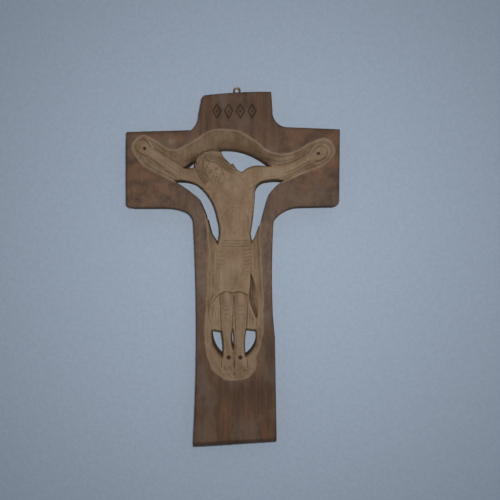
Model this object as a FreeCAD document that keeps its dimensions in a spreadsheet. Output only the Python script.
import FreeCAD, Part
import math
import os
import Sketcher

# A small wall cross: a waisted plank, pierced and carved, holding a pale carved
# figure on its own dished ground, with four square pegs and a brass screw eye.
#
# Frame: +X to the viewer's right, +Z up, the carved front looks along -Y.
# The origin is the middle of the plank's flat back, where it meets the wall.

# ---------------------------------------------------------------- sizes, mm
CLOSE = 0.01  # how near two heights count as the same

SIZES = {
    "board_thickness": 20.0,
    "foot_bevel": 5.0,
    "ground_thickness": 13.0,
    "relief_base": 9.0,
    # chip-carved lozenges on the top block
    "lozenge_half_width": 3.4,
    "lozenge_half_height": 6.0,
    "lozenge_first_x": -15.5,
    "lozenge_centre_z": 135.2,
    "lozenge_depth": 0.8,
    "lozenge_count": 4,
    "lozenge_span": 30.0,
    # head of the figure
    "head_x": -18.5,
    "head_depth": 11.0,
    "head_z": 86.8,
    "head_half_width": 12.0,
    "head_half_depth": 8.0,
    "head_half_length": 16.0,
    "head_tilt": 26.0,
    # square pegs through the hands and feet, set on their corners
    "peg_half_diagonal": 2.2,
    "peg_length": 12.2,
    "peg_foot_depth": 6.0,
    "peg_head_chamfer": 0.35,
    # brass screw eye in the middle of the top edge
    "eye_x": 1.5,
    "eye_depth": 10.0,
    "eye_root_z": 150.9,
    "eye_ring_radius": 2.5,
    "eye_wire_radius": 0.7,
    "eye_ring_height": 4.1,
    "eye_shank_radius": 1.1,
    "eye_neck_height": 1.8,
    "eye_thread_length": 12.0,
    "eye_tip_length": 2.2,
    "thread_pitch": 1.1,
    "thread_cut": 0.3,
    "thread_count": 8,
    "eye_hole_radius": 1.15,
    "eye_hole_extra": 0.8,
}

# Outlines. Each corner is (name, across, up, rise): the rise is how far the stretch
# to the next corner bows to the left of its travel, and 0 makes it straight.
# All of them run clockwise in front view, so a rise above 0 bows outward.
SILHOUETTE = [
    ("block_left", -28.4, 144.6, 0.6),
    ("block_top_left", -26.0, 148.5, 1.0),
    ("block_top_right", 30.8, 151.6, 0.0),
    ("block_right", 31.9, 135.0, -3.4),
    ("arm_top_right", 43.0, 121.5, 0.0),
    ("end_top_right", 89.2, 119.6, 0.0),
    ("end_right", 88.6, 58.6, 0.9),
    ("end_under_right", 85.2, 54.4, 0.0),
    ("arm_under_right", 57.0, 53.8, -3.6),
    ("shaft_right", 32.8, 41.3, -1.0),
    ("shaft_narrow_right", 32.2, -38.0, 0.0),
    ("shaft_step_right", 34.0, -58.0, 0.0),
    ("foot_right", 35.5, -147.6, 0.0),
    ("foot_left", -35.8, -151.8, -2.8),
    ("shaft_left", -35.3, 40.5, -1.9),
    ("fillet_left", -43.0, 50.0, -0.7),
    ("arm_under_left", -60.0, 53.1, 0.0),
    ("end_under_left", -88.8, 53.2, 0.9),
    ("end_left", -92.4, 56.8, 0.3),
    ("end_top_left", -92.3, 117.4, 0.0),
    ("arm_top_left", -37.4, 118.9, -1.8),
    ("block_flare_left", -30.8, 132.6, 0.0),
]

# The bay is the through opening of the plank that the carved figure fills.
BAY = [
    ("hand_left", -87.0, 103.5, 3.4),
    ("hand_top_left", -76.5, 113.6, 0.8),
    ("dip_left", -59.5, 103.4, -2.6),
    ("arch_left", -42.5, 105.2, -0.6),
    ("arch_high_left", -23.8, 116.9, 2.3),
    ("arch_high_right", 4.3, 116.9, 0.7),
    ("arch_right", 24.7, 102.9, -0.9),
    ("dip_right", 38.5, 97.7, -1.4),
    ("wrist_right", 59.1, 104.7, 0.9),
    ("hand_top_right", 76.0, 111.2, 3.6),
    ("hand_right", 83.6, 98.0, 1.6),
    ("palm_under_right", 70.0, 87.4, 0.3),
    ("window_tip_right", 39.3, 74.8, -0.6),
    ("window_bend_right", 29.0, 64.4, -0.4),
    ("window_edge_right", 22.2, 40.0, -0.4),
    ("waist_right", 20.7, 24.7, 0.6),
    ("halo_right", 23.6, -38.0, 2.4),
    ("halo_notch", 16.4, -74.8, 1.6),
    ("halo_toe_right", 11.5, -89.4, 2.2),
    ("halo_toe_left", -8.6, -92.2, 2.8),
    ("halo_left", -25.1, -61.2, 0.4),
    ("halo_high_left", -22.0, 4.0, -0.4),
    ("waist_left", -22.9, 36.0, 0.0),
    ("window_low_left", -25.2, 47.4, -0.3),
    ("window_bend_left", -31.2, 61.2, -0.5),
    ("window_tip_left", -50.4, 75.2, 0.6),
    ("palm_under_left", -76.0, 88.2, 1.2),
]

# Through windows between the figure and its surroundings. The two side windows run
# past the bay's edge, where the plank itself is their outer side.
WINDOWS = {
    "upper_window": [
        ("crown", -13.0, 104.2, 1.9),
        ("arch_side", 14.4, 99.2, 0.6),
        ("shoulder_tip", 30.4, 88.8, 0.0),
        ("shoulder_top", 18.0, 89.3, -0.4),
        ("shoulder", 9.4, 86.5, 0.4),
        ("neck", 5.2, 83.7, 0.3),
        ("lock", 1.2, 86.2, 0.0),
        ("lock_tip", -2.0, 91.0, 0.0),
        ("notch", -3.6, 89.9, 0.0),
        ("hair", -10.4, 97.0, 0.0),
    ],
    "elbow_window": [
        ("outer", -44.0, 87.2, 0.0),
        ("crest", -35.2, 94.8, 0.0),
        ("inner", -34.6, 87.2, 0.0),
    ],
    "left_window": [
        ("tip", -52.0, 76.6, 0.3),
        ("arm", -40.0, 75.8, 0.3),
        ("armpit", -31.6, 72.3, 3.0),
        ("chest", -15.5, 45.0, 0.6),
        ("waist", -13.4, 31.0, 0.0),
        ("foot", -15.0, 22.8, 0.0),
        ("strip_low", -20.4, 31.4, 0.0),
        ("strip", -23.6, 43.5, 0.0),
        ("outer_low", -30.0, 45.0, 0.0),
        ("outer_high", -46.0, 67.0, 0.0),
    ],
    "right_window": [
        ("tip", 41.6, 76.6, 0.0),
        ("outer_high", 39.0, 68.0, 0.0),
        ("outer_low", 28.0, 40.0, 0.0),
        ("strip", 21.0, 38.4, 0.0),
        ("strip_low", 17.4, 28.6, 0.0),
        ("foot", 14.6, 24.4, 0.0),
        ("waist", 13.2, 31.0, -0.6),
        ("armpit", 17.0, 64.5, 3.4),
        ("arm", 27.0, 76.4, 0.6),
    ],
    "left_ankle_window": [
        ("top_left", -19.8, -51.4, 0.0),
        ("top_right", -12.0, -52.9, 0.9),
        ("foot", -11.0, -73.8, 3.2),
    ],
    "right_ankle_window": [
        ("top_left", 9.8, -51.0, 0.0),
        ("top_right", 18.0, -52.0, 3.4),
        ("foot", 8.8, -74.0, 1.0),
    ],
    "shin_slit": [
        ("top", -1.8, -51.0, 0.9),
        ("foot", -1.8, -67.4, 1.3),
    ],
}

# Cross sections of the figure's relief: (place along, centre, half width, rise).
# The trunk and shins are cut by level planes, the arms by upright ones.
RELIEF = {
    "trunk": ("XY_Plane", [
        ("collar", 84.0, -2.0, 14.0, 6.6),
        ("chest", 67.0, -4.6, 20.5, 9.6),
        ("ribs", 54.0, -1.2, 17.0, 9.6),
        ("waist", 33.0, 0.2, 13.0, 8.8),
        ("hips", 14.0, 0.0, 17.0, 9.6),
        ("knees", -24.0, 0.0, 15.5, 10.0),
        ("hem", -49.0, 0.0, 14.0, 6.4),
    ]),
    "left_shin": ("XY_Plane", [
        ("knee", -40.0, -7.4, 4.6, 8.2),
        ("ankle", -68.0, -6.5, 3.4, 6.4),
        ("toes", -88.0, -6.2, 4.4, 4.6),
    ]),
    "right_shin": ("XY_Plane", [
        ("knee", -40.0, 5.6, 4.7, 8.2),
        ("ankle", -68.0, 4.4, 3.5, 6.4),
        ("toes", -88.0, 3.6, 4.4, 4.6),
    ]),
    "left_arm": ("YZ_Plane", [
        ("shoulder", -18.0, 78.0, 7.5, 8.4),
        ("elbow", -42.5, 80.4, 5.8, 7.6),
        ("wrist", -64.0, 95.2, 4.8, 6.8),
        ("palm", -76.5, 103.2, 6.0, 6.6),
        ("fingers", -84.5, 106.4, 3.0, 4.4),
    ]),
    "right_arm": ("YZ_Plane", [
        ("shoulder", 12.0, 78.0, 7.5, 8.4),
        ("elbow", 40.0, 83.6, 6.8, 7.6),
        ("wrist", 60.0, 93.6, 4.4, 6.8),
        ("palm", 70.7, 99.0, 5.8, 6.6),
        ("fingers", 80.5, 101.4, 4.0, 4.4),
    ]),
}

# Where each peg sits in front view.
PEGS = {
    "hand_peg_left": (-76.8, 103.6),
    "hand_peg_right": (70.9, 99.3),
    "foot_peg_left": (-5.4, -74.6),
    "foot_peg_right": (4.5, -74.6),
}


# ---------------------------------------------------------------- the sheet
def section_corners(plane, centre, half_width, rise):
    """Corners of one D-shaped relief section, its round side towards the front."""
    base = -SIZES["relief_base"]
    if plane == "XY_Plane":
        return [("left", centre - half_width, base, -rise), ("right", centre + half_width, base, 0.0)]
    return [("low", base, centre - half_width, rise), ("high", base, centre + half_width, 0.0)]


def all_outlines():
    """Every outline by name, with its corners."""
    outlines = {"silhouette": SILHOUETTE, "bay": BAY}
    outlines.update(WINDOWS)
    for limb, (plane, sections) in RELIEF.items():
        for name, _, centre, half_width, rise in sections:
            outlines[limb + "_" + name] = section_corners(plane, centre, half_width, rise)
    return outlines


def sheet_values():
    """All driving values by alias: sizes, outline corners, section places and peg places."""
    values = dict(SIZES)
    for outline, corners in all_outlines().items():
        for corner, across, up, rise in corners:
            values["%s_%s_across" % (outline, corner)] = across
            values["%s_%s_up" % (outline, corner)] = up
            if rise:
                values["%s_%s_rise" % (outline, corner)] = rise
    for limb, (_, sections) in RELIEF.items():
        for section in sections:
            values["%s_%s_place" % (limb, section[0])] = section[1]
    for peg, (across, up) in PEGS.items():
        values[peg + "_x"] = across
        values[peg + "_z"] = up
    return values


def fill_sheet(doc):
    sheet = doc.addObject("Spreadsheet::Sheet", "Sizes")
    for row, (alias, value) in enumerate(sheet_values().items(), start=1):
        sheet.set("A%d" % row, alias)
        sheet.set("B%d" % row, repr(value))
        sheet.setAlias("B%d" % row, alias)
    doc.recompute()


# ---------------------------------------------------------------- drawing helpers
def new_body(doc, label):
    body = doc.addObject("PartDesign::Body", label)
    body.Label = label
    return body


def attach(body, feature, role):
    """Lay a sketch or a primitive flat on one of the body's origin planes."""
    plane = next(item for item in body.Origin.OriginFeatures if item.Role == role)
    feature.AttachmentSupport = [(plane, "")]
    feature.MapMode = "FlatFace"


def new_sketch(body, name, role, offset=None):
    """A sketch on an origin plane, moved along the plane's normal by an expression."""
    sketch = body.newObject("Sketcher::SketchObject", name)
    attach(body, sketch, role)
    if offset:
        sketch.setExpression("AttachmentOffset.Base.z", offset)
    return sketch


def arc_between(start, end, rise):
    """The arc from start to end that bows by rise to the left of its travel."""
    chord = end - start
    left = FreeCAD.Vector(-chord.y, chord.x, 0) / chord.Length
    radius = chord.Length ** 2 / (8 * abs(rise)) + abs(rise) / 2
    centre = (start + end) / 2 + left * (rise - math.copysign(radius, rise))
    first, last = (end, start) if rise > 0 else (start, end)
    angles = [math.atan2(point.y - centre.y, point.x - centre.x) for point in (first, last)]
    circle = Part.Circle(centre, FreeCAD.Vector(0, 0, 1), radius)
    return Part.ArcOfCircle(circle, angles[0], angles[1])


def bind(sketch, constraint, name, expression):
    """Add a named constraint whose value follows the sheet."""
    index = sketch.addConstraint(constraint)
    sketch.renameConstraint(index, name)
    sketch.setExpression("Constraints." + name, expression)


def draw_outline(sketch, outline):
    """Draw a closed outline and bind each corner and each round stretch to the sheet."""
    corners = all_outlines()[outline]
    points = [FreeCAD.Vector(corner[1], corner[2], 0) for corner in corners]
    stretches = []
    for index, (_, _, _, rise) in enumerate(corners):
        start, end = points[index], points[(index + 1) % len(points)]
        curve = arc_between(start, end, rise) if rise else Part.LineSegment(start, end)
        leaves, arrives = (2, 1) if rise > 0 else (1, 2)
        stretches.append((sketch.addGeometry(curve), leaves, arrives))
    for index, (curve, leaves, arrives) in enumerate(stretches):
        after, after_leaves, _ = stretches[(index + 1) % len(stretches)]
        sketch.addConstraint(Sketcher.Constraint("Coincident", curve, arrives, after, after_leaves))
    for index, (name, across, up, rise) in enumerate(corners):
        curve, leaves, _ = stretches[index]
        here = "Sizes.%s_%s" % (outline, name)
        there = "Sizes.%s_%s" % (outline, corners[(index + 1) % len(corners)][0])
        bind(sketch, Sketcher.Constraint("DistanceX", -1, 1, curve, leaves, across),
             name + "_across", here + "_across")
        bind(sketch, Sketcher.Constraint("DistanceY", -1, 1, curve, leaves, up),
             name + "_up", here + "_up")
        if rise:
            chord = "((%s_across - %s_across)^2 + (%s_up - %s_up)^2)" % (there, here, there, here)
            radius = "abs(%s / (8 * %s_rise) + %s_rise / 2)" % (chord, here, here)
            length = (points[(index + 1) % len(points)] - points[index]).Length
            value = length ** 2 / (8 * abs(rise)) + abs(rise) / 2
            bind(sketch, Sketcher.Constraint("Radius", curve, value), name + "_radius", radius)


def draw_polygon(sketch, corners):
    """Draw a closed polygon; each corner is a pair of expressions of the sheet."""
    sheet = sketch.Document.getObject("Sizes")
    values = [[sheet.evalExpression(text) for text in corner] for corner in corners]
    points = [FreeCAD.Vector(x, z, 0) for x, z in values]
    lines = []
    for index, point in enumerate(points):
        after = points[(index + 1) % len(points)]
        lines.append(sketch.addGeometry(Part.LineSegment(point, after)))
    for index, line in enumerate(lines):
        after = lines[(index + 1) % len(lines)]
        sketch.addConstraint(Sketcher.Constraint("Coincident", line, 2, after, 1))
        for kind, name, side in (("DistanceX", "across_%d", 0), ("DistanceY", "up_%d", 1)):
            place = Sketcher.Constraint(kind, -1, 1, line, 1, values[index][side])
            bind(sketch, place, name % index, corners[index][side])


def draw_lozenge(sketch, across, up, half_width, half_height):
    """A lozenge standing on its corner, about a centre given by two expressions."""
    draw_polygon(sketch, [
        ("%s + %s" % (across, half_width), up),
        (across, "%s + %s" % (up, half_height)),
        ("%s - %s" % (across, half_width), up),
        (across, "%s - %s" % (up, half_height)),
    ])


def pad(body, sketch, name, length):
    feature = body.newObject("PartDesign::Pad", name)
    feature.Profile = sketch
    feature.setExpression("Length", length)
    return feature


def cut_through(body, sketch, name):
    """Cut from the sketch's plane out through the carved front."""
    feature = body.newObject("PartDesign::Pocket", name)
    feature.Profile = sketch
    feature.Type = "ThroughAll"
    feature.Reversed = True
    return feature


def expect_smaller(body, before, what):
    """A cut that points away from the solid removes nothing, so its effect is checked."""
    body.Document.recompute()
    if body.Shape.Volume >= before - CLOSE:
        raise RuntimeError(what + " removed nothing")
    return body.Shape.Volume


def edges_where(shape, test):
    """Names of the edges whose every vertex passes the test."""
    names = []
    for number, edge in enumerate(shape.Edges, start=1):
        if all(test(vertex.Point) for vertex in edge.Vertexes):
            names.append("Edge%d" % number)
    return names


# ---------------------------------------------------------------- the plank
def make_cross_board(doc):
    body = new_body(doc, "cross_board")
    outline = new_sketch(body, "silhouette", "XZ_Plane")
    draw_outline(outline, "silhouette")
    plank = pad(body, outline, "plank", "Sizes.board_thickness")
    doc.recompute()
    volume = body.Shape.Volume

    front = -SIZES["board_thickness"]
    foot = max(corner[2] for corner in SILHOUETTE if corner[0].startswith("foot"))
    bevel = body.newObject("PartDesign::Chamfer", "foot_bevel")
    lower_front = edges_where(plank.Shape, lambda p: p.y < front + CLOSE and p.z < foot + CLOSE)
    bevel.Base = (plank, lower_front)
    bevel.setExpression("Size", "Sizes.foot_bevel")
    volume = expect_smaller(body, volume, "the foot bevel")

    bay = new_sketch(body, "bay_outline", "XZ_Plane")
    draw_outline(bay, "bay")
    cut_through(body, bay, "bay")
    volume = expect_smaller(body, volume, "the bay")

    lozenge = new_sketch(body, "lozenge_outline", "XZ_Plane", "Sizes.board_thickness")
    draw_lozenge(lozenge, "Sizes.lozenge_first_x", "Sizes.lozenge_centre_z",
                 "Sizes.lozenge_half_width", "Sizes.lozenge_half_height")
    chip = body.newObject("PartDesign::Pocket", "lozenge_chip")
    chip.Profile = lozenge
    chip.setExpression("Length", "Sizes.lozenge_depth")
    volume = expect_smaller(body, volume, "the lozenge")

    row = body.newObject("PartDesign::LinearPattern", "lozenge_row")
    row.Originals = [chip]
    row.Direction = (lozenge, ["H_Axis"])
    row.setExpression("Length", "Sizes.lozenge_span")
    row.setExpression("Occurrences", "Sizes.lozenge_count")
    body.Tip = row
    volume = expect_smaller(body, volume, "the lozenge row")

    hole = body.newObject("PartDesign::SubtractiveCylinder", "eye_hole")
    attach(body, hole, "XY_Plane")
    depth = "(Sizes.eye_thread_length + Sizes.eye_hole_extra)"
    hole.setExpression("AttachmentOffset.Base.x", "Sizes.eye_x")
    hole.setExpression("AttachmentOffset.Base.y", "-Sizes.eye_depth")
    hole.setExpression("AttachmentOffset.Base.z", "Sizes.eye_root_z - " + depth)
    hole.setExpression("Radius", "Sizes.eye_hole_radius")
    hole.setExpression("Height", depth + " + Sizes.eye_neck_height")
    expect_smaller(body, volume, "the eye's hole")
    return body


# ---------------------------------------------------------------- the figure
def add_relief(body, limb):
    """Loft one limb or the trunk through its sections, onto the ground."""
    plane, sections = RELIEF[limb]
    sketches = []
    for section in sections:
        name = limb + "_" + section[0]
        sketch = new_sketch(body, name, plane, "Sizes.%s_place" % name)
        draw_outline(sketch, name)
        sketches.append(sketch)
    loft = body.newObject("PartDesign::AdditiveLoft", limb)
    loft.Profile = sketches[0]
    loft.Sections = sketches[1:]
    loft.Ruled = True
    body.Document.recompute()


def add_head(body):
    """The head is one tilted egg, crown to the viewer's upper left."""
    head = body.newObject("PartDesign::AdditiveEllipsoid", "head")
    attach(body, head, "XY_Plane")
    head.AttachmentOffset = FreeCAD.Placement(
        FreeCAD.Vector(), FreeCAD.Rotation(FreeCAD.Vector(0, -1, 0), SIZES["head_tilt"]))
    head.setExpression("AttachmentOffset.Rotation.Angle", "Sizes.head_tilt")
    head.setExpression("AttachmentOffset.Base.x", "Sizes.head_x")
    head.setExpression("AttachmentOffset.Base.y", "-Sizes.head_depth")
    head.setExpression("AttachmentOffset.Base.z", "Sizes.head_z")
    head.setExpression("Radius1", "Sizes.head_half_length")
    head.setExpression("Radius2", "Sizes.head_half_width")
    head.setExpression("Radius3", "Sizes.head_half_depth")
    body.Document.recompute()


def make_corpus(doc):
    body = new_body(doc, "corpus")
    outline = new_sketch(body, "ground_outline", "XZ_Plane")
    draw_outline(outline, "bay")
    pad(body, outline, "ground", "Sizes.ground_thickness")
    doc.recompute()
    for limb in RELIEF:
        add_relief(body, limb)
    add_head(body)

    volume = body.Shape.Volume
    for window in WINDOWS:
        sketch = new_sketch(body, window + "_outline", "XZ_Plane")
        draw_outline(sketch, window)
        cut_through(body, sketch, window)
        volume = expect_smaller(body, volume, "the " + window)
    for peg in PEGS:
        sketch = new_sketch(body, peg + "_square", "XZ_Plane", "Sizes.peg_foot_depth")
        draw_lozenge(sketch, "Sizes.%s_x" % peg, "Sizes.%s_z" % peg,
                     "Sizes.peg_half_diagonal", "Sizes.peg_half_diagonal")
        cut_through(body, sketch, peg + "_hole")
        volume = expect_smaller(body, volume, "the hole of " + peg)
    return body


# ---------------------------------------------------------------- the pegs
def make_peg(doc, peg):
    body = new_body(doc, peg)
    square = new_sketch(body, peg + "_section", "XZ_Plane")
    draw_lozenge(square, "0", "0", "Sizes.peg_half_diagonal", "Sizes.peg_half_diagonal")
    shaft = pad(body, square, peg + "_shaft", "Sizes.peg_length")
    doc.recompute()
    volume = body.Shape.Volume
    head = body.newObject("PartDesign::Chamfer", peg + "_head")
    end = -SIZES["peg_length"]
    head.Base = (shaft, edges_where(shaft.Shape, lambda p: p.y < end + CLOSE))
    head.setExpression("Size", "Sizes.peg_head_chamfer")
    expect_smaller(body, volume, "the head chamfer of " + peg)
    body.setExpression("Placement.Base.x", "Sizes.%s_x" % peg)
    body.setExpression("Placement.Base.y", "-Sizes.peg_foot_depth")
    body.setExpression("Placement.Base.z", "Sizes.%s_z" % peg)
    return body


# ---------------------------------------------------------------- the screw eye
def draw_shank(sketch):
    """Half profile of the shank: a point, a plain stem and a neck into the ring."""
    draw_polygon(sketch, [
        ("0", "-Sizes.eye_thread_length"),
        ("Sizes.eye_shank_radius", "-Sizes.eye_thread_length + Sizes.eye_tip_length"),
        ("Sizes.eye_shank_radius", "0"),
        ("Sizes.eye_wire_radius", "Sizes.eye_shank_radius / 2"),
        ("Sizes.eye_wire_radius", "Sizes.eye_neck_height"),
        ("0", "Sizes.eye_neck_height"),
    ])


def draw_thread_notch(sketch):
    """One V notch, its point inside the stem and its mouth just outside it."""
    low = "-Sizes.eye_thread_length + Sizes.eye_tip_length"
    mouth = "Sizes.eye_shank_radius + Sizes.thread_cut"
    draw_polygon(sketch, [
        ("Sizes.eye_shank_radius - Sizes.thread_cut", low + " + Sizes.thread_cut"),
        (mouth, low + " + 3 * Sizes.thread_cut"),
        (mouth, low + " - Sizes.thread_cut"),
    ])


def make_screw_eye(doc):
    body = new_body(doc, "screw_eye")
    profile = new_sketch(body, "shank_profile", "XZ_Plane")
    draw_shank(profile)
    shank = body.newObject("PartDesign::Revolution", "shank")
    shank.Profile = profile
    shank.ReferenceAxis = (profile, ["V_Axis"])
    shank.Angle = 360.0
    doc.recompute()
    volume = body.Shape.Volume

    notch_profile = new_sketch(body, "notch_profile", "XZ_Plane")
    draw_thread_notch(notch_profile)
    notch = body.newObject("PartDesign::Groove", "thread_notch")
    notch.Profile = notch_profile
    notch.ReferenceAxis = (notch_profile, ["V_Axis"])
    notch.Angle = 360.0
    volume = expect_smaller(body, volume, "the thread notch")

    thread = body.newObject("PartDesign::LinearPattern", "thread")
    thread.Originals = [notch]
    thread.Direction = (notch_profile, ["V_Axis"])
    thread.setExpression("Length", "Sizes.thread_pitch * (Sizes.thread_count - 1)")
    thread.setExpression("Occurrences", "Sizes.thread_count")
    body.Tip = thread
    volume = expect_smaller(body, volume, "the thread")

    ring = body.newObject("PartDesign::AdditiveTorus", "ring")
    attach(body, ring, "XZ_Plane")
    ring.setExpression("AttachmentOffset.Base.y", "Sizes.eye_ring_height")
    ring.setExpression("Radius1", "Sizes.eye_ring_radius")
    ring.setExpression("Radius2", "Sizes.eye_wire_radius")
    doc.recompute()
    body.setExpression("Placement.Base.x", "Sizes.eye_x")
    body.setExpression("Placement.Base.y", "-Sizes.eye_depth")
    body.setExpression("Placement.Base.z", "Sizes.eye_root_z")
    return body


# ---------------------------------------------------------------- checks and files
def check_document(doc, bodies):
    doc.recompute()
    for item in doc.Objects:
        if "Invalid" in item.State or "Error" in item.State:
            raise RuntimeError("%s failed: %s" % (item.Name, item.State))
    for body in bodies:
        if body.Shape.isNull() or not body.Shape.isValid() or len(body.Shape.Solids) != 1:
            raise RuntimeError(body.Label + " is not one valid solid")


def main():
    doc = FreeCAD.newDocument("wall_cross")
    fill_sheet(doc)
    bodies = [make_cross_board(doc), make_corpus(doc)]
    bodies += [make_peg(doc, peg) for peg in PEGS]
    bodies.append(make_screw_eye(doc))
    check_document(doc, bodies)
    os.makedirs("parts", exist_ok=True)
    for body in bodies:
        body.Shape.exportStep("parts/%s.step" % body.Label)
        box = body.Shape.BoundBox
        print("%-16s %8.0f mm3  x %.1f..%.1f  y %.1f..%.1f  z %.1f..%.1f" % (
            body.Label, body.Shape.Volume, box.XMin, box.XMax, box.YMin, box.YMax, box.ZMin, box.ZMax))


main()
